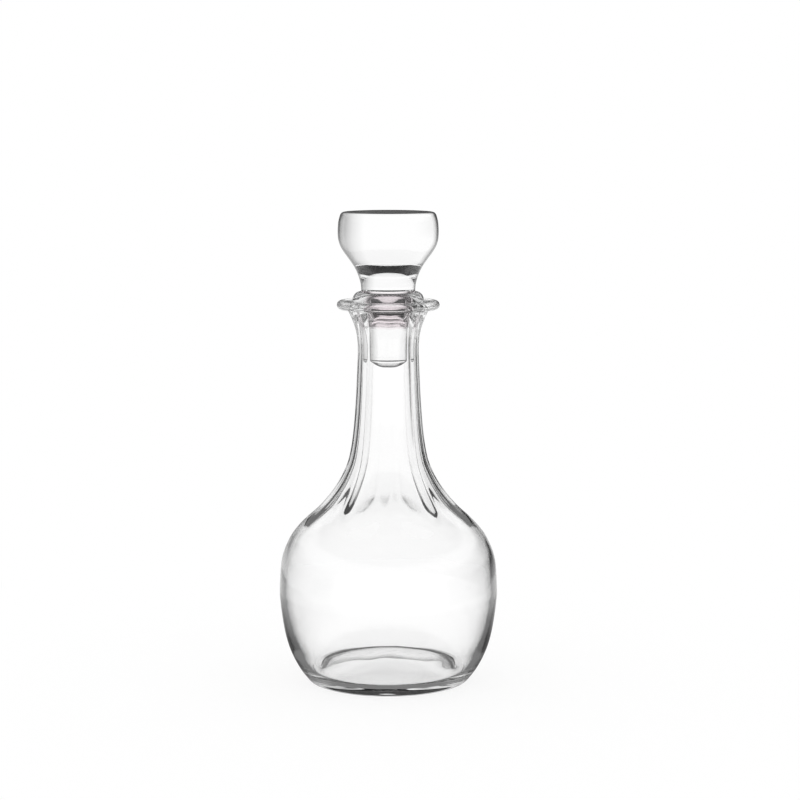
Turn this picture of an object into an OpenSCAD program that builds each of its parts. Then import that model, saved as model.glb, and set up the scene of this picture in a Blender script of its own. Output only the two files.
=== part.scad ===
// Round-bodied glass liquor bottle with an eight-sided neck, a drip ring and a solid glass
// stopper, whose plug turns in a soft ribbed sleeve.
// Millimetres, +Z up, origin at the centre of the base on the table.

/* [Body] */
// Radius of the round body at its widest
body_r = 58.1; // [54:0.1:62]
// Height of the widest place above the table
belly_z = 50; // [45:1:55]
// Radius of the base at the table
base_r = 42.3; // [40:0.1:45]
// Width of the soft edge round the base
base_edge_w = 1.6; // [0.8:0.1:2.4]
// Width of the ring that touches the table
foot_w = 5; // [3:0.5:7]
// Rise of the hollow under the base
punt_h = 7; // [4:0.5:9]
// Glass at the middle of the floor
floor_t = 5.8; // [4:0.2:8]
// Glass between the table and the lowest place inside
trough_t = 6; // [4.5:0.5:8]
// Glass of the body wall, square to the wall
wall_t = 3; // [2.4:0.1:3.4]
// Extra glass where the side comes down to the base
heel_t = 2.4; // [1:0.1:3.5]

/* [Neck] */
// Number of flat panels round the neck
panels = 8; // [6:2:12]
// Radius over the corners of the neck at its narrowest
neck_r = 16.15; // [16:0.05:18]
// Height of the narrowest place of the neck
waist_z = 175; // [170:1:178]
// Radius over the corners of the neck under the drip ring
flare_r = 22; // [20.5:0.5:23]
// Radius of the bore of the neck
bore_r = 13.15; // [12.6:0.05:13.2]
// Height at which the flats begin to leave the neck
panel_turn_z = 95; // [88:1:100]
// Height at which the flats run out on the shoulder
panel_end_z = 84; // [82:0.5:86]

/* [Mouth] */
// Height of the mouth above the table
mouth_z = 208; // [206:0.5:210]
// Radius of the bore at the mouth, where the sleeve sits
mouth_bore_r = 13.7; // [13.5:0.05:14.2]
// Depth of the wide bore below the mouth
mouth_bore_h = 18.5; // [17.5:0.5:20]
// Length over which the wide bore narrows to the neck
mouth_taper_h = 9; // [6:0.5:12]
// Outer radius of the rounded lip
lip_r = 19; // [18:0.5:20]
// Width of the flat land round the mouth
lip_land_w = 1.4; // [1:0.1:2]
// Radius of the drip ring
ring_r = 27.1; // [25:0.1:29]
// Radius of the bead round the drip ring's edge
ring_bead_r = 2.3; // [2:0.1:2.6]
// Thickness of the drip ring inside its bead
ring_web_t = 3.4; // [2.8:0.1:3.8]
// Drop from the mouth to the middle of the drip ring
ring_drop = 6.9; // [6.4:0.1:8]

/* [Sleeve] */
// Thickness of the sleeve's top flange
seal_flange_t = 0.9; // [0.6:0.1:1.2]
// Overhang of the top flange past the mouth bore
seal_flange_w = 0.6; // [0.4:0.1:0.9]
// Depth of the sleeve below the mouth
seal_h = 17; // [16:0.5:17.5]
// Thickness of the sleeve between its bands
seal_wall_t = 0.8; // [0.6:0.05:0.95]
// Height of the upper sealing band
upper_band_h = 5.2; // [4:0.2:6]
// Height of the lower sealing band
lower_band_h = 6.6; // [5:0.2:7.6]
// Height of the narrow rib between the bands
rib_h = 1.4; // [1:0.1:2]
// Gap between the bands and the mouth bore
band_gap = 0.08; // [0.02:0.01:0.1]
// Radius that softens the edges of the bands and of the rib
band_edge_r = 0.4; // [0.2:0.05:0.45]

/* [Stopper] */
// Height of the stopper's head above the sleeve
head_h = 41.1; // [36:0.1:46]
// Radius of the head at its widest
head_r = 26.5; // [24:0.1:29]
// Radius of the head at its foot
head_foot_r = 14.2; // [14:0.1:14.6]
// Width of the soft edge round the flat top
head_edge_w = 2; // [1:0.1:3]
// Radius of the plug
plug_r = 12.1; // [11.8:0.05:12.2]
// Narrowing of the plug at its lower end
plug_taper = 0.4; // [0.2:0.05:0.8]
// Length of the plug below the head, without its domed end
plug_h = 37.6; // [34:0.2:39]
// Rise of the plug's domed end
plug_dome_h = 3.4; // [1:0.1:4]
// Radius that softens the plug's lower edge
plug_edge_r = 1.2; // [0.4:0.1:2]
// Gap between the plug and the sleeve that it turns in
plug_gap = 0.05; // [0.02:0.01:0.09]

/* [Hidden] */

// Fineness of the round cuts
$fn = 96;
// Steps of a curve between two of its points
curve_steps = 4;
// Steps of a rounded corner
corner_steps = 6;
// Overrun of every cut
over = 1;

// Colours
glass_colour = [0.86, 0.93, 0.92, 0.45];
seal_colour = [0.93, 0.94, 0.95, 0.75];

// Places that follow from the sizes above
ring_z = mouth_z - ring_drop;
ring_top_z = ring_z + ring_web_t / 2;
ring_low_z = ring_z - ring_web_t / 2;
floor_z = punt_h + floor_t;
punt_r = base_r - foot_w;
seat_z = mouth_z + seal_flange_t;
seal_bore_r = plug_r + plug_gap;
sleeve_r = seal_bore_r + seal_wall_t;
band_r = mouth_bore_r - band_gap;

// Shape of the side below the belly: share of the height, share of the way out from the base
side_shares = [[0, 0], [0.05, 0.12], [0.11, 0.27], [0.18, 0.41], [0.27, 0.56], [0.38, 0.7],
    [0.52, 0.82], [0.7, 0.92], [0.86, 0.98], [1, 1]];
// Shape of the shoulder: share of the way up to the neck, share of the width left
shoulder_shares = [[0, 1], [0.12, 0.972], [0.2, 0.887], [0.25, 0.79], [0.3, 0.65], [0.35, 0.492],
    [0.4, 0.362], [0.45, 0.258], [0.5, 0.178], [0.56, 0.112], [0.66, 0.062], [0.81, 0.025], [1, 0]];
// Shape of the flare under the drip ring: share of the height, share of the way out
flare_shares = [[0, 0], [0.22, 0.01], [0.38, 0.07], [0.54, 0.2], [0.7, 0.42], [0.86, 0.71], [1, 1]];
// Shape of the head: share of the way down, share of the way out from its foot
head_shares = [[0.05, 0.912], [0.12, 0.972], [0.2, 0.997], [0.28, 1], [0.36, 0.973], [0.44, 0.885],
    [0.52, 0.725], [0.6, 0.53], [0.68, 0.345], [0.76, 0.2], [0.85, 0.085], [0.93, 0.02], [1, 0]];
// Shape of the floor inside: share of the way out to its lowest ring, share of the way down
floor_shares = [[0, 0], [0.2, 0.045], [0.4, 0.17], [0.6, 0.39], [0.8, 0.7], [0.92, 0.92], [1, 1]];
// Radius of the lowest ring inside, as a share of the base
trough_share = 0.92;
// Height at which the inside of the side takes over from the rounded heel, as a share of the belly
heel_top_share = 0.4;
// Share of a panel's half angle that stays round at each corner of the neck
corner_share = 0.11;
// Power by which the flats leave the neck: one is a straight way out, two a parabola
panel_leave_power = 1.5;

// A point of a smooth curve between b and c, where a and d are their neighbours
function curve_point(a, b, c, d, t) =
    b + (c - a) * t / 2 + (2 * a - 5 * b + 4 * c - d) * t * t / 2
    + (3 * b - a - 3 * c + d) * t * t * t / 2;

// A rounded corner at b, from a to c
function corner(a, b, c) = [
    for (k = [0 : corner_steps])
        let (t = k / corner_steps) (1 - t) * (1 - t) * a + 2 * t * (1 - t) * b + t * t * c
];

// A smooth curve through all the points
function curve(p) = [
    for (i = [0 : len(p) - 2], k = [0 : curve_steps - 1])
        curve_point(p[max(i - 1, 0)], p[i], p[i + 1], p[min(i + 2, len(p) - 1)], k / curve_steps),
    p[len(p) - 1]
];

// Outline of the glass as [height, radius], from the table to the drip ring
side = [for (s = side_shares) [belly_z * s[0], base_r + (body_r - base_r) * s[1]]];
shoulder = [for (s = shoulder_shares)
    [belly_z + (waist_z - belly_z) * s[0], neck_r + (body_r - neck_r) * s[1]]];
flare = [for (s = flare_shares)
    [waist_z + (ring_low_z - waist_z) * s[0], neck_r + (flare_r - neck_r) * s[1]]];
lower_outline = curve([each side, for (i = [1 : len(shoulder) - 1]) shoulder[i]]);
outline = [each lower_outline, for (p = curve(flare)) if (p[0] > waist_z) p];

// Radius of the glass over the corners at a height
function glass_r(z) = lookup(z, outline);

// Thickness of the wall at a height
function wall_at(z) = wall_t + heel_t * pow(max(0, 1 - z / belly_z), 2);

// Distance of a flat from the axis: a share of the radius, which grows to all of it at the shoulder
flat_share = cos(180 / panels * (1 - corner_share));
function flat_at(z) =
    glass_r(z) * (flat_share + (1 - flat_share)
        * pow(max(0, (panel_turn_z - z) / (panel_turn_z - panel_end_z)), panel_leave_power));

// The outline moved in by the wall, square to itself, between two heights
function inset(low, high) = [
    for (i = [1 : len(lower_outline) - 2])
        let (p = lower_outline[i], way = lower_outline[i + 1] - lower_outline[i - 1],
            square_in = [way[1], -way[0]] / norm(way))
        if (p[0] > low && p[0] < high) p + wall_at(p[0]) * square_in
];

// Turns a list of [height, radius] into a solid round the axis
module turned(p) {
    rotate_extrude() polygon([for (q = p) [q[1], q[0]]]);
}

// Side of the glass with its soft base edge, closed along the axis
module round_glass() {
    above = [for (p = outline) if (p[0] > base_edge_w) p];
    turned([[0, 0], each corner([0, base_r - base_edge_w], [0, base_r], above[0]),
        for (i = [1 : len(above) - 1]) above[i], [ring_z, flare_r], [ring_z, 0]]);
}

// A pair of opposite flats: all that lies between them is kept
module flat_pair() {
    low_z = panel_end_z - (panel_turn_z - panel_end_z);
    rise = ring_z - low_z;
    far = body_r + over;
    flat_steps = 32;
    fine_shares = [for (i = [0 : flat_steps]) (1 - cos(180 * i / flat_steps)) / 2];
    half = [[-over, far], [low_z, far], for (s = fine_shares) [low_z + rise * s, flat_at(low_z + rise * s)],
        [ring_z + over, flat_at(ring_z)]];
    rotate([90, 0, 0]) linear_extrude(height = 2 * far, center = true)
        polygon([for (p = half) [p[1], p[0]],
            for (i = [len(half) - 1 : -1 : 0]) [-half[i][1], half[i][0]]]);
}

// Drip ring with its bead, and the rounded lip above it
module mouth_glass() {
    rotate_extrude() {
        translate([ring_r - ring_bead_r, ring_z]) circle(r = ring_bead_r);
        translate([0, ring_low_z]) square([ring_r - ring_bead_r, ring_web_t]);
    }
    land_r = mouth_bore_r + lip_land_w;
    round_w = lip_r - land_r;
    round_h = mouth_z - ring_top_z;
    turned([[ring_z, 0], [ring_z, lip_r],
        for (a = [0 : 10 : 90]) [ring_top_z + round_h * sin(a), land_r + round_w * cos(a)],
        [mouth_z, 0]]);
}

// Hollow of the bottle: domed floor, rounded heel, body and neck
module hollow() {
    trough_r = base_r * trough_share;
    heel_top = belly_z * heel_top_share;
    inner_side = inset(heel_top, waist_z);
    floor_line = [for (s = floor_shares) [floor_z - (floor_z - trough_t) * s[1], trough_r * s[0]]];
    side_way = inner_side[1] - inner_side[0];
    heel_r = inner_side[0][1] - (inner_side[0][0] - trough_t) * side_way[1] / side_way[0];
    heel = corner([trough_t, trough_r], [trough_t, heel_r], inner_side[0]);
    wide_low_z = mouth_z - mouth_bore_h;
    turned([
        each curve(floor_line),
        for (i = [1 : len(heel) - 1]) heel[i],
        for (i = [1 : len(inner_side) - 1]) if (inner_side[i][1] > bore_r) inner_side[i],
        [waist_z, bore_r],
        [wide_low_z - mouth_taper_h, bore_r],
        [wide_low_z, mouth_bore_r],
        [mouth_z + over, mouth_bore_r],
        [mouth_z + over, 0]
    ]);
}

// Shallow hollow under the base: a cap of a sphere
module punt() {
    ball_r = (punt_r * punt_r + punt_h * punt_h) / (2 * punt_h);
    translate([0, 0, punt_h - ball_r]) sphere(r = ball_r, $fn = 180);
}

// Glass bottle
module bottle() {
    color(glass_colour) difference() {
        union() {
            intersection() {
                round_glass();
                all_flats();
            }
            mouth_glass();
        }
        hollow();
        punt();
    }
}

// What all the pairs of flats leave
module all_flats() {
    intersection_for (i = [0 : panels / 2 - 1])
        rotate([0, 0, (i + 1 / 2) * 360 / panels]) flat_pair();
}

// A sealing band with soft edges round the sleeve, from low to high
module band(low, high) {
    soft = min(band_edge_r, (band_r - sleeve_r) * 0.9);
    rotate_extrude() {
        translate([seal_bore_r, low]) square([band_r - soft - seal_bore_r, high - low]);
        translate([seal_bore_r, low + soft]) square([band_r - seal_bore_r, high - low - 2 * soft]);
        for (z = [low + soft, high - soft]) translate([band_r - soft, z]) circle(r = soft);
    }
}

// Soft clear sleeve between the plug and the mouth
module stopper_seal() {
    sleeve_low_z = mouth_z - seal_h;
    groove_low_z = sleeve_low_z + lower_band_h;
    groove_high_z = mouth_z - upper_band_h;
    rib_z = (groove_low_z + groove_high_z) / 2;
    color(seal_colour) difference() {
        union() {
            translate([0, 0, sleeve_low_z]) cylinder(r = sleeve_r, h = seal_h);
            translate([0, 0, mouth_z])
                cylinder(r = mouth_bore_r + seal_flange_w, h = seal_flange_t);
            band(sleeve_low_z, groove_low_z);
            band(rib_z - rib_h / 2, rib_z + rib_h / 2);
            band(groove_high_z, mouth_z + seal_flange_t / 2);
        }
        translate([0, 0, sleeve_low_z - over]) cylinder(r = seal_bore_r, h = seal_h + seal_flange_t + 2 * over);
    }
}

// Solid glass stopper: flat-topped head, narrow foot and round plug
module stopper() {
    top_z = seat_z + head_h;
    plug_low_z = seat_z - plug_h;
    straight_z = mouth_z - seal_h;
    end_r = plug_r - plug_taper;
    head = curve([for (s = head_shares)
        [top_z - head_h * s[0], head_foot_r + (head_r - head_foot_r) * s[1]]]);
    rim_way = head[1] - head[0];
    rim_r = head[0][1] + (top_z - head[0][0]) * rim_way[1] / rim_way[0];
    rim = corner([top_z, rim_r - head_edge_w], [top_z, rim_r], head[0]);
    end_lean = atan(2 * plug_dome_h / end_r);
    edge_z = plug_low_z + plug_edge_r * cos(end_lean);
    foot_edge = [for (share = [1/3, 2/3, 1]) let (a = share * (90 - end_lean))
        [edge_z - plug_edge_r * sin(a), end_r - plug_edge_r * (1 - cos(a))]];
    dome = [for (s = [0.8, 0.6, 0.4, 0.2, 0])
        [plug_low_z - plug_dome_h * (1 - s * s), (end_r - plug_edge_r * (1 - sin(end_lean))) * s]];
    color(glass_colour) turned([
        [top_z, 0],
        each rim,
        for (i = [1 : len(head) - 1]) head[i],
        [seat_z, plug_r],
        [straight_z, plug_r],
        [edge_z, end_r],
        each foot_edge,
        each dome
    ]);
}

bottle();
stopper_seal();
stopper();
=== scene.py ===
import math

import bpy
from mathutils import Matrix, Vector


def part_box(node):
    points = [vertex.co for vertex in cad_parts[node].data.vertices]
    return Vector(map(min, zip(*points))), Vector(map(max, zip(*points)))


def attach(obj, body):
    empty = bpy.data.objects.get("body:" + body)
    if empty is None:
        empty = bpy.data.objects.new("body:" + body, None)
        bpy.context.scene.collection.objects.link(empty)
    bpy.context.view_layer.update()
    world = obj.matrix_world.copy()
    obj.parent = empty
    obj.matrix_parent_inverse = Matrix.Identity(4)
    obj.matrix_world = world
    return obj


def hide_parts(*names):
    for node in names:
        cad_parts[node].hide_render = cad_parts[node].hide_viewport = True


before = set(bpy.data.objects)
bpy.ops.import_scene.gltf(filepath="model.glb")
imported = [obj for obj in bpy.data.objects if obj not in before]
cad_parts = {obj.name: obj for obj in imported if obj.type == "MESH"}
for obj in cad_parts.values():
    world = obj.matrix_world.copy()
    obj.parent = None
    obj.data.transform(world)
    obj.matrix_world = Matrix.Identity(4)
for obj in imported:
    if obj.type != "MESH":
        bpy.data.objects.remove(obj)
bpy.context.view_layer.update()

# Glass bottle
# One piece of soda-lime glass, blown in a mould: a round body, eight flat panels up the neck, a drip
# ring and a fire-polished lip. It stands on a narrow ring round a shallow hollow in the base.
MM = 0.001
mouth_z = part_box("bottle")[1].z
body_r = 58.1 * MM
belly_z = 50 * MM
base_r = 42.3 * MM
base_edge_w = 1.6 * MM
foot_w = 5 * MM
punt_h = 7 * MM
floor_t = 5.8 * MM
trough_t = 6 * MM
wall_t = 3 * MM
heel_t = 2.4 * MM
heel_top_share = 0.4
trough_share = 0.92
panels = 8
neck_r = 16.15 * MM
waist_z = 175 * MM
flare_r = 22 * MM
bore_r = 13.15 * MM
panel_turn_z = 95 * MM
panel_end_z = 84 * MM
panel_leave_power = 1.5
corner_share = 0.11
corner_soft = 0.8 * MM
mouth_bore_r = 13.7 * MM
mouth_bore_h = 18.5 * MM
mouth_taper_h = 9 * MM
mouth_edge_w = 0.5 * MM
lip_r = 19 * MM
lip_land_w = 1.4 * MM
ring_z = mouth_z - 6.9 * MM
ring_r = 27.1 * MM
ring_bead_r = 2.3 * MM
ring_web_t = 3.4 * MM
ring_bead_turn = 130
no_flat = 1.0
seam_gap = 0.001 * MM
bottle_segments = 208
line_steps, punt_steps, base_edge_steps, heel_steps, floor_steps = 8, 24, 6, 14, 5
bead_steps, lip_steps, mouth_edge_steps = 28, 14, 5
glass_ior = 1.52
blown_wave_w = 24 * MM
blown_wave_h = 0.25 * MM

side_shares = [(0, 0), (0.05, 0.12), (0.11, 0.27), (0.18, 0.41), (0.27, 0.56), (0.38, 0.7), (0.52, 0.82),
    (0.7, 0.92), (0.86, 0.98), (1, 1)]
shoulder_shares = [(0.12, 0.972), (0.2, 0.887), (0.25, 0.79), (0.3, 0.65), (0.35, 0.492), (0.4, 0.362),
    (0.45, 0.258), (0.5, 0.178), (0.56, 0.112), (0.66, 0.062), (0.81, 0.025), (1, 0)]
flare_shares = [(0.22, 0.01), (0.38, 0.07), (0.54, 0.2), (0.7, 0.42), (0.86, 0.71), (1, 1)]
floor_shares = [(1, 1), (0.92, 0.92), (0.8, 0.7), (0.6, 0.39), (0.4, 0.17), (0.2, 0.045), (0, 0)]


def smooth_line(points, steps):
    """A smooth curve through (radius, height) points."""
    points = [Vector(p) for p in points]
    last = len(points) - 1
    line = []
    for i in range(last):
        a, b, c, d = points[max(i - 1, 0)], points[i], points[i + 1], points[min(i + 2, last)]
        for t in (k / steps for k in range(steps)):
            line.append(b + (c - a) * t / 2 + (2 * a - 5 * b + 4 * c - d) * t * t / 2
                + (3 * b - a - 3 * c + d) * t ** 3 / 2)
    return line + [points[last]]


def rounded(a, b, c, steps):
    """A rounded corner at b, from a to c, without its first point."""
    a, b, c = Vector(a), Vector(b), Vector(c)
    shares = [(k + 1) / steps for k in range(steps)]
    return [(1 - t) ** 2 * a + 2 * t * (1 - t) * b + t * t * c for t in shares]


def arc(centre, wide, high, start, end, steps):
    """Part of an ellipse round a centre, from one angle to another in degrees."""
    turns = [math.radians(start + (end - start) * k / steps) for k in range(steps + 1)]
    return [Vector((centre[0] + wide * math.cos(t), centre[1] + high * math.sin(t))) for t in turns]


def add(tree, kind, inputs=None, **settings):
    """Adds a node with its settings, and gives each input a value or a link."""
    node = tree.nodes.new(kind)
    for name, value in settings.items():
        setattr(node, name, value)
    for key, value in (inputs or {}).items():
        if isinstance(value, bpy.types.NodeSocket):
            tree.links.new(value, node.inputs[key])
        else:
            node.inputs[key].default_value = value
    return node


def lathe_tree():
    """Turns a profile round the axis and cuts flat panels where the profile says how far they lie."""
    tree = bpy.data.node_groups.new("turned_and_panelled", "GeometryNodeTree")
    face = tree.interface
    face.new_socket("Profile", in_out="INPUT", socket_type="NodeSocketGeometry")
    for name, kind in (("Segments", "Int"), ("Panels", "Int"), ("Corner Softness", "Float"),
            ("Seam Distance", "Float"), ("Material", "Material")):
        face.new_socket(name, in_out="INPUT", socket_type="NodeSocket" + kind)
    face.new_socket("Geometry", in_out="OUTPUT", socket_type="NodeSocketGeometry")
    given = add(tree, "NodeGroupInput").outputs
    maths = lambda operation, *values: add(tree, "ShaderNodeMath", dict(enumerate(values)),
        operation=operation).outputs[0]
    rows = add(tree, "GeometryNodeAttributeDomainSize", {"Geometry": given["Profile"]},
        component="MESH").outputs["Point Count"]
    grid = add(tree, "GeometryNodeMeshGrid", {"Size X": 1, "Size Y": 1,
        "Vertices X": maths("ADD", given["Segments"], 1), "Vertices Y": rows})
    index = add(tree, "GeometryNodeInputIndex").outputs[0]
    column = maths("FLOOR", maths("DIVIDE", maths("ADD", index, 0.5), rows))
    row = maths("SUBTRACT", index, maths("MULTIPLY", column, rows))
    place = add(tree, "GeometryNodeSampleIndex", {"Geometry": given["Profile"],
        "Value": add(tree, "GeometryNodeInputPosition").outputs[0], "Index": row}, data_type="FLOAT_VECTOR")
    flat_given = add(tree, "GeometryNodeInputNamedAttribute", {"Name": "flat"}, data_type="FLOAT").outputs[0]
    flat = add(tree, "GeometryNodeSampleIndex", {"Geometry": given["Profile"], "Value": flat_given,
        "Index": row}, data_type="FLOAT")
    profile = add(tree, "ShaderNodeSeparateXYZ", {0: place.outputs[0]}).outputs
    turn = maths("DIVIDE", column, given["Segments"])
    panel = maths("SUBTRACT", maths("FRACT", maths("MULTIPLY", turn, given["Panels"])), 0.5)
    off_middle = maths("MULTIPLY", maths("DIVIDE", panel, given["Panels"]), math.tau)
    flat_r = maths("DIVIDE", flat.outputs[0], maths("COSINE", off_middle))
    radius = maths("SMOOTH_MIN", profile["X"], flat_r, given["Corner Softness"])
    angle = maths("SUBTRACT", maths("MULTIPLY", turn, math.tau), math.pi / 2)
    point = add(tree, "ShaderNodeCombineXYZ", {"X": maths("MULTIPLY", radius, maths("COSINE", angle)),
        "Y": maths("MULTIPLY", radius, maths("SINE", angle)), "Z": profile["Z"]})
    shaped = add(tree, "GeometryNodeSetPosition", {"Geometry": grid.outputs["Mesh"],
        "Position": point.outputs[0]})
    closed = add(tree, "GeometryNodeMergeByDistance", {"Geometry": shaped.outputs[0],
        "Distance": given["Seam Distance"]})
    smooth = add(tree, "GeometryNodeSetShadeSmooth", {"Geometry": closed.outputs[0]})
    real = add(tree, "GeometryNodeRealizeInstances", {"Geometry": smooth.outputs[0]})
    finished = add(tree, "GeometryNodeSetMaterial", {"Geometry": real.outputs[0],
        "Material": given["Material"]})
    add(tree, "NodeGroupOutput", {"Geometry": finished.outputs[0]})
    return tree


lathe = lathe_tree()


def turned(name, profile, material, segments, softness=0.0):
    """A closed piece turned from a profile of (radius, height, distance of the flats)."""
    mesh = bpy.data.meshes.new(name)
    joins = [(i, i + 1) for i in range(len(profile) - 1)]
    mesh.from_pydata([(r, 0, z) for r, z, flat in profile], joins, [])
    flats = mesh.attributes.new("flat", "FLOAT", "POINT")
    flats.data.foreach_set("value", [flat for r, z, flat in profile])
    piece = bpy.data.objects.new(name, mesh)
    bpy.context.scene.collection.objects.link(piece)
    turning = piece.modifiers.new("turning", "NODES")
    turning.node_group = lathe
    sizes = {"Segments": segments, "Panels": panels, "Corner Softness": softness,
        "Seam Distance": seam_gap, "Material": material}
    for socket in lathe.interface.items_tree:
        if socket.name in sizes:
            turning[socket.identifier] = sizes[socket.name]
    piece.update_tag()
    evaluated = piece.evaluated_get(bpy.context.evaluated_depsgraph_get())
    made = bpy.data.meshes.new_from_object(evaluated)
    piece.modifiers.remove(turning)
    piece.data = made
    made.name = name
    bpy.data.meshes.remove(mesh)
    return piece


def glass_outline():
    """The outside of the glass as (radius, height), from the base edge up to the drip ring."""
    side = [(base_r + (body_r - base_r) * out, belly_z * up) for up, out in side_shares]
    shoulder = [(neck_r + (body_r - neck_r) * out, belly_z + (waist_z - belly_z) * up)
        for up, out in shoulder_shares]
    low = smooth_line(side + shoulder, line_steps)
    flare_top = ring_z - ring_web_t / 2
    flare = [(neck_r + (flare_r - neck_r) * out, waist_z + (flare_top - waist_z) * up)
        for up, out in [(0, 0)] + flare_shares]
    return low, smooth_line(flare, line_steps)


def flat_distance(r, z):
    """How far a panel lies from the axis where the glass has radius r over its corners."""
    flat_share = math.cos(math.pi / panels * (1 - corner_share))
    leaving = max(0.0, (panel_turn_z - z) / (panel_turn_z - panel_end_z))
    return r * (flat_share + (1 - flat_share) * leaving ** panel_leave_power)


def bottle_profile():
    """The whole section of the glass: hollow base, side, neck, ring, lip, bore, wall and floor."""
    low, flare = glass_outline()
    punt_r = base_r - foot_w
    ball_r = (punt_r ** 2 + punt_h ** 2) / (2 * punt_h)
    punt = [Vector((r, punt_h - ball_r + math.sqrt(ball_r ** 2 - r ** 2)))
        for r in (punt_r * k / punt_steps for k in range(punt_steps + 1))]
    side = [p for p in low if p.y > base_edge_w]
    edge = rounded((base_r - base_edge_w, 0), (base_r, 0), side[0], base_edge_steps)
    outside = side[1:] + flare[1:]
    bead = arc((ring_r - ring_bead_r, ring_z), ring_bead_r, ring_bead_r, -ring_bead_turn, ring_bead_turn,
        bead_steps)
    ring_top = ring_z + ring_web_t / 2
    land_r = mouth_bore_r + lip_land_w
    lip = arc((land_r, ring_top), lip_r - land_r, mouth_z - ring_top, 0, 90, lip_steps)
    mouth_edge = rounded((mouth_bore_r + mouth_edge_w, mouth_z), (mouth_bore_r, mouth_z),
        (mouth_bore_r, mouth_z - mouth_edge_w), mouth_edge_steps)
    inner = []
    for before, p, after in zip(low, low[1:], low[2:]):
        way = (after - before).normalized()
        wall = wall_t + heel_t * max(0.0, 1 - p.y / belly_z) ** 2
        inner.append(p + wall * Vector((-way.y, way.x)))
    heel_top = belly_z * heel_top_share
    inner = [p for p in inner if p.y > heel_top and p.x > bore_r]
    slope = (inner[1].x - inner[0].x) / (inner[1].y - inner[0].y)
    trough = Vector((base_r * trough_share, trough_t))
    heel = rounded(inner[0], (inner[0].x - slope * (inner[0].y - trough_t), trough_t), trough, heel_steps)
    floor_z = punt_h + floor_t
    floor_line = smooth_line([(trough.x * out, floor_z - (floor_z - trough_t) * down)
        for out, down in floor_shares], floor_steps)
    wide_low = mouth_z - mouth_bore_h
    bore = [Vector((mouth_bore_r, wide_low)), Vector((bore_r, wide_low - mouth_taper_h)),
        Vector((bore_r, waist_z))]
    plain = lambda points: [(p.x, p.y, no_flat) for p in points]
    return (plain(punt) + plain([Vector((base_r - base_edge_w, 0))] + edge)
        + [(p.x, p.y, flat_distance(p.x, p.y)) for p in outside]
        + plain(bead + lip + [Vector((mouth_bore_r + mouth_edge_w, mouth_z))] + mouth_edge + bore
            + inner[::-1] + heel + floor_line[1:]))


def levels(tree, value, low, high, stops):
    """A level that follows a value through (value, level) stops, for a range from low to high."""
    share = add(tree, "ShaderNodeMapRange", {"Value": value, "From Min": low, "From Max": high}).outputs[0]
    ramp = add(tree, "ShaderNodeValToRGB", {"Fac": share})
    marks = ramp.color_ramp.elements
    marks[0].color, marks[1].color = [(level,) * 3 + (1,) for at, level in (stops[0], stops[-1])]
    for at, level in stops[1:-1]:
        marks.new((at - low) / (high - low)).color = (level,) * 3 + (1,)
    return ramp.outputs["Color"]


def clear_glass(name, painted_edge_shade_levels, wave_w, wave_h):
    """Soda-lime glass, fire-polished: clear, with painted shade darkening its colour where one looks along
    it, and faintly wavy.
    """
    material = bpy.data.materials.new(name)
    material.use_nodes = True
    tree = material.node_tree
    tree.nodes.clear()
    facing = add(tree, "ShaderNodeLayerWeight", {"Blend": 0.5}).outputs["Facing"]
    # Painted shade: the base colour darkens by these levels where one looks along the surface.
    edge = levels(tree, facing, 0, 1, painted_edge_shade_levels)
    place = add(tree, "ShaderNodeTexCoord").outputs["Object"]
    waves = add(tree, "ShaderNodeTexNoise", {"Vector": place, "Scale": 1 / wave_w, "Detail": 1.0})
    relief = add(tree, "ShaderNodeBump", {"Height": waves.outputs["Fac"], "Distance": wave_h})
    shader = add(tree, "ShaderNodeBsdfPrincipled", {"Base Color": edge, "Roughness": 0.0, "IOR": glass_ior,
        "Transmission Weight": 1.0, "Normal": relief.outputs[0]})
    add(tree, "ShaderNodeOutputMaterial", {"Surface": shader.outputs[0]})
    return material


# Painted shade for the bottle: its colour darkens towards the edges, where one looks along the glass.
blown_painted_edge_shade = [(0, 1), (0.62, 1), (0.8, 0.8), (0.9, 0.65), (0.96, 0.55), (1, 0.55)]
bottle = turned("bottle_glass", bottle_profile(), clear_glass("soda_lime_glass_blown", blown_painted_edge_shade,
    blown_wave_w, blown_wave_h), bottle_segments, corner_soft)
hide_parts("bottle")
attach(bottle, "bottle")

# Stopper sleeve
# A soft, clear polyethylene sleeve, moulded in one. Its two broad bands and the narrow rib between
# them press on the mouth bore, and its top flange lies on the lip.
seal_low, seal_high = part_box("stopper_seal")
plug_r = 12.1 * MM
plug_gap = 0.05 * MM
seal_bore_r = plug_r + plug_gap
sleeve_t = 0.8 * MM
sleeve_r = seal_bore_r + sleeve_t
mouth_gap = 0.08 * MM
band_r = mouth_bore_r - mouth_gap
band_soft = 0.4 * MM
upper_band_h = 5.2 * MM
lower_band_h = 6.6 * MM
rib_h = 1.4 * MM
flange_edge = 0.25 * MM
sleeve_segments = 160
band_steps, flange_steps = 6, 4
sleeve_colour = "#FCF7F9"
fitted_ior = 1.05


def band_line(low, high):
    """A sealing band with soft edges, as a line up its outside."""
    middle = band_r - band_soft
    lower_edge = arc((middle, low + band_soft), band_soft, band_soft, -90, 0, band_steps)
    upper_edge = arc((middle, high - band_soft), band_soft, band_soft, 0, 90, band_steps)
    return [Vector((sleeve_r, low))] + lower_edge + upper_edge + [Vector((sleeve_r, high))]


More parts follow.
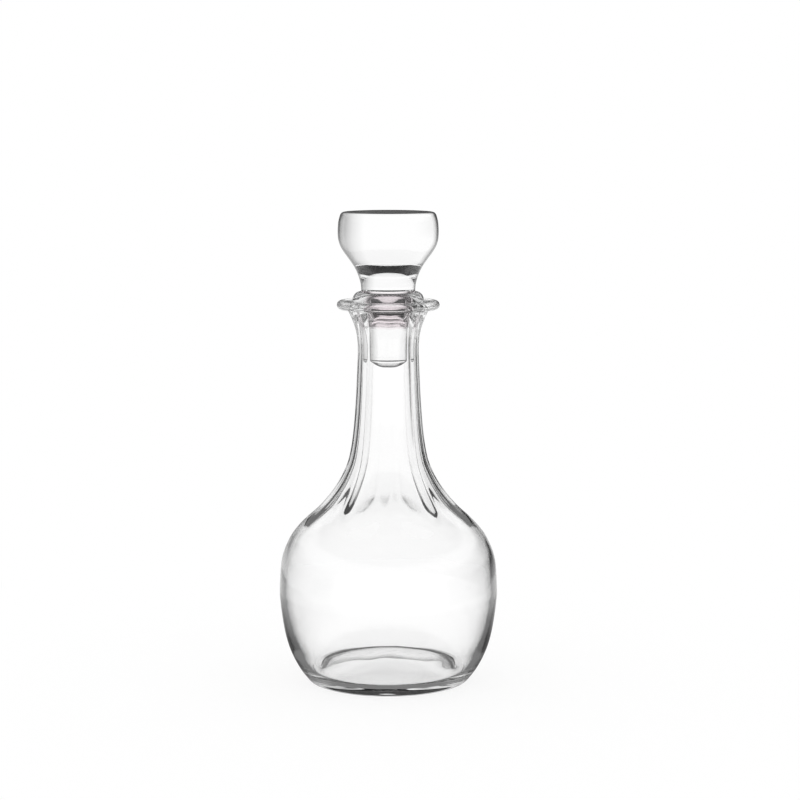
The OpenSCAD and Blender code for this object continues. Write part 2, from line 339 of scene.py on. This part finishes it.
def seal_profile():
    """The ring-shaped section of the sleeve, from its lower end round to the same point."""
    groove_low = seal_low.z + lower_band_h
    groove_high = mouth_z - upper_band_h
    rib_z = (groove_low + groove_high) / 2
    line = band_line(seal_low.z, groove_low)[1:] + band_line(rib_z - rib_h / 2, rib_z + rib_h / 2)
    line += band_line(groove_high, mouth_z + band_soft)[: -(band_steps + 2)]
    line += [Vector((band_r, mouth_z)), Vector((seal_high.x, mouth_z))]
    line += rounded((seal_high.x, seal_high.z - flange_edge), (seal_high.x, seal_high.z),
        (seal_high.x - flange_edge, seal_high.z), flange_steps)
    line += [Vector((seal_bore_r, seal_high.z)), Vector((seal_bore_r, seal_low.z))]
    return [(p.x, p.y, no_flat) for p in line + line[:1]]


def hex_colour(text):
    """An sRGB hex colour as linear RGBA."""
    shares = [int(text[i : i + 2], 16) / 255 for i in (1, 3, 5)]
    return [s / 12.92 if s <= 0.04045 else ((s + 0.055) / 1.055) ** 2.4 for s in shares] + [1.0]


def soft_polyethylene():
    """Low-density polyethylene, pressed flat on the glass on both sides, so little light turns in it."""
    material = bpy.data.materials.new("ldpe_moulded")
    material.use_nodes = True
    tree = material.node_tree
    tree.nodes.clear()
    shader = add(tree, "ShaderNodeBsdfPrincipled", {"Base Color": hex_colour(sleeve_colour),
        "Roughness": 0.0, "IOR": fitted_ior, "Transmission Weight": 1.0})
    add(tree, "ShaderNodeOutputMaterial", {"Surface": shader.outputs[0]})
    return material


seal = turned("stopper_sleeve", seal_profile(), soft_polyethylene(), sleeve_segments)
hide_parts("stopper_seal")
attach(seal, "seal")

# Stopper
# One piece of solid clear glass, pressed and fire-polished: a flat-topped head, a narrow foot that
# rests on the sleeve, and a round plug with a domed end.
head_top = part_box("stopper")[1].z
head_r = 26.5 * MM
head_foot_r = 14.2 * MM
head_edge_w = 2 * MM
plug_taper = 0.4 * MM
plug_h = 37.6 * MM
plug_dome_h = 3.4 * MM
plug_edge_r = 1.2 * MM
stopper_segments = 192
dome_steps, plug_edge_steps, head_steps, rim_steps = 16, 8, 9, 10
pressed_wave_w = 14 * MM
pressed_wave_h = 0.05 * MM
head_shares = [(0.05, 0.912), (0.12, 0.972), (0.2, 0.997), (0.28, 1), (0.36, 0.973), (0.44, 0.885),
    (0.52, 0.725), (0.6, 0.53), (0.68, 0.345), (0.76, 0.2), (0.85, 0.085), (0.93, 0.02), (1, 0)]


def stopper_profile():
    """The section of the stopper, from the middle of its domed end up to the middle of its top."""
    seat = seal_high.z
    low = seat - plug_h
    end_r = plug_r - plug_taper
    end_lean = math.atan(2 * plug_dome_h / end_r)
    join_r = end_r - plug_edge_r * (1 - math.sin(end_lean))
    dome = [Vector((join_r * s, low - plug_dome_h * (1 - s ** 2)))
        for s in (k / dome_steps for k in range(dome_steps))]
    edge = arc((end_r - plug_edge_r, low + plug_edge_r * math.cos(end_lean)), plug_edge_r, plug_edge_r,
        math.degrees(end_lean) - 90, 0, plug_edge_steps)
    head = smooth_line([(head_foot_r + (head_r - head_foot_r) * out, head_top - (head_top - seat) * down)
        for down, out in reversed(head_shares)], head_steps)
    lean = (head[-1].x - head[-2].x) / (head[-1].y - head[-2].y)
    rim_r = head[-1].x + (head_top - head[-1].y) * lean
    rim = rounded(head[-1], (rim_r, head_top), (rim_r - head_edge_w, head_top), rim_steps)
    line = dome + edge + [Vector((plug_r, seal_low.z)), Vector((plug_r, seat))] + head + rim
    return [(p.x, p.y, no_flat) for p in line + [Vector((0, head_top))]]


# Painted shade for the stopper: its colour goes near black towards the edges, where one looks along the
# glass.
pressed_painted_edge_shade = [(0, 1), (0.55, 1), (0.66, 0.5), (0.75, 0.03), (1, 0.03)]
stopper = turned("glass_stopper", stopper_profile(), clear_glass("soda_lime_glass_pressed",
    pressed_painted_edge_shade, pressed_wave_w, pressed_wave_h), stopper_segments)
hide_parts("stopper")
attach(stopper, "stopper")

# Floor, light and camera
# A plain white floor under even studio light, and the view from a little above the mouth.
floor_mesh = bpy.data.meshes.new("floor")
floor_r = 0.35
floor_sides = 64
floor_turns = [math.tau * k / floor_sides for k in range(floor_sides)]
floor_mesh.from_pydata([(floor_r * math.cos(t), floor_r * math.sin(t), 0) for t in floor_turns], [],
    [range(floor_sides)])
floor = bpy.data.objects.new("floor", floor_mesh)
bpy.context.scene.collection.objects.link(floor)


def between(tree, factor, a, b):
    """A number between two others, by a factor."""
    return add(tree, "ShaderNodeMix", {0: factor, 2: a, 3: b}, data_type="FLOAT").outputs[0]


def above(tree, value, limit):
    """One where a value is above a limit."""
    return add(tree, "ShaderNodeMath", {0: value, 1: limit}, operation="GREATER_THAN").outputs[0]


# White paper: matt, and bright enough to look white where it is seen straight on or through the glass.
# Where the glass mirrors it, a dark glow is painted in its place as shade: near the bottle on its outside,
# and everywhere within it.
paper_colour = "#696969"
paper_glow, paper_glow_through, paper_painted_dark_mirrored = 0.86, 0.92, 0.2
near_r, far_r = 0.1, 0.26
paper = bpy.data.materials.new("white_paper")
paper.use_nodes = True
tree = paper.node_tree
tree.nodes.clear()
path = add(tree, "ShaderNodeLightPath").outputs
through = above(tree, path["Transmission Depth"], 0.5)
mirrored = above(tree, path["Glossy Depth"], 0.5)
matt = add(tree, "ShaderNodeBsdfDiffuse", {"Color": hex_colour(paper_colour)})
glow = add(tree, "ShaderNodeEmission", {"Strength": between(tree, through, paper_glow, paper_glow_through)})
both = add(tree, "ShaderNodeAddShader", {0: matt.outputs[0], 1: glow.outputs[0]})
# Painted shade: the dark glow that stands for the paper in the glass's mirror images.
painted_mirror_shade = add(tree, "ShaderNodeEmission", {"Strength": paper_painted_dark_mirrored})
place = add(tree, "ShaderNodeTexCoord").outputs["Object"]
off_middle = add(tree, "ShaderNodeVectorMath", {0: place}, operation="LENGTH").outputs["Value"]
# Where the glass mirrors the paper from outside, the painted shade covers it near the bottle and fades out
# further off.
near = levels(tree, off_middle, 0, floor_r, [(0, 1), (near_r, 1), (far_r, 0), (floor_r, 0)])
shaded = between(tree, through, near, 1.0)
painted_mirror_shade_share = add(tree, "ShaderNodeMath", {0: shaded, 1: mirrored}, operation="MULTIPLY").outputs[0]
seen = add(tree, "ShaderNodeMixShader", {0: painted_mirror_shade_share, 1: both.outputs[0], 2: painted_mirror_shade.outputs[0]})
add(tree, "ShaderNodeOutputMaterial", {"Surface": seen.outputs[0]})
floor_mesh.materials.append(paper)

# White walls all round, and dark cards at both sides and overhead that only the glass shows. They are
# levels by direction: by turn round the axis, 0 away from the camera and more to its right, and by rise.
white_through_bottle = 1.06
world = bpy.data.worlds.new("studio")
bpy.context.scene.world = world
world.use_nodes = True
tree = world.node_tree
tree.nodes.clear()
way = add(tree, "ShaderNodeSeparateXYZ", {0: add(tree, "ShaderNodeTexCoord").outputs["Generated"]}).outputs
turn = add(tree, "ShaderNodeMath", {0: way["X"], 1: way["Y"]}, operation="ARCTAN2").outputs[0]
turn = add(tree, "ShaderNodeMath", {0: turn}, operation="DEGREES").outputs[0]
rise = add(tree, "ShaderNodeMath", {0: way["Z"]}, operation="ARCSINE").outputs[0]
rise = add(tree, "ShaderNodeMath", {0: rise}, operation="DEGREES").outputs[0]
path = add(tree, "ShaderNodeLightPath").outputs


def by_turn(stops):
    """A level by turn, whole behind the camera, through (degrees, level) stops."""
    return levels(tree, turn, -180, 180, [(-180, 1)] + stops + [(180, 1)])


def by_rise(stops):
    """A level by rise, from straight down to straight up, through (degrees, level) stops."""
    return levels(tree, rise, -90, 90, stops)


# Faces passed on the way: up to two in a solid piece, four in the bottle's walls, six with the plug too.
through = above(tree, path["Transmission Depth"], 0.5)
through_wall = above(tree, path["Transmission Depth"], 2.5)
through_plug = above(tree, path["Transmission Depth"], 4.5)
mirrored = above(tree, path["Glossy Depth"], 0.5)

# Straight through solid glass, and through the plug in the neck, the white has a grey card to the right.
# Through the bottle's walls it is whole, and makes up for the light lost at their faces.
behind = by_turn([(22, 1), (36, 0.8), (50, 0.5), (70, 0.6), (98, 0.75), (120, 1)])
past_wall = between(tree, through_plug, white_through_bottle, behind)
straight = between(tree, through, 1.0, between(tree, through_wall, behind, past_wall))

# Mirrored on the outside, the cards stand at both sides, about as high as the eye.
cards = by_turn([(-120, 1), (-80, 0.25), (-14, 0.2), (0, 0.1), (12, 0.03), (18, 0.02), (80, 0.02), (120, 1)])
card_heights = by_rise([(-90, 0), (-12, 0), (0, 1), (12, 1), (20, 0), (90, 0)])
outside = between(tree, card_heights, 1.0, cards)

# Mirrored within the glass, they reach further round, with a roof over them, a light stretch of wall
# under the roof, and the paper's painted dark mirrored level below.
cards_within = by_turn([(-125, 1), (-108, 0.7), (-60, 0.7), (-14, 0.5), (-11, 1), (11, 1), (15, 0.02),
    (112, 0.02), (130, 1)])
roof = by_rise([(-90, 1), (29, 1), (36, 0.02), (90, 0.02)])
light_wall = by_rise([(-90, 0), (-1, 0), (4, 0.6), (14, 0.6), (18, 1), (29, 1), (36, 0), (90, 0)])
below = by_rise([(-90, 1), (-25, 1), (-12, 0), (90, 0)])
within = add(tree, "ShaderNodeMath", {0: cards_within, 1: roof}, operation="MULTIPLY").outputs[0]
within = between(tree, light_wall, within, 1.0)
within = between(tree, below, within, paper_painted_dark_mirrored)
mirror = between(tree, through, outside, within)

light = add(tree, "ShaderNodeBackground", {"Color": between(tree, mirrored, straight, mirror)})
add(tree, "ShaderNodeOutputWorld", {"Surface": light.outputs[0]})

# The view that the proportions were read with, a little to the left of a panel corner.
camera_data = bpy.data.cameras.new("camera")
camera = bpy.data.objects.new("camera", camera_data)
bpy.context.scene.collection.objects.link(camera)
bearing = math.radians(-2)
tilt = math.radians(7.13)
distance, height, aside = 1.249, 0.3067, 0.0062
focal_px, picture_w_px = 2375, 800
sensor_w_mm = 36
most_bounces, most_mirrored = 24, 12
camera_data.sensor_width = sensor_w_mm
camera_data.lens = focal_px / picture_w_px * sensor_w_mm
camera.location = (distance * math.sin(bearing) + aside * math.cos(bearing),
    -distance * math.cos(bearing) + aside * math.sin(bearing), height)
camera.rotation_euler = (math.pi / 2 - tilt, 0, bearing)
scene = bpy.context.scene
scene.camera = camera
scene.view_settings.view_transform = "Standard"
scene.cycles.max_bounces = most_bounces
scene.cycles.transmission_bounces = most_bounces
scene.cycles.glossy_bounces = most_mirrored
scene.cycles.use_denoising = True
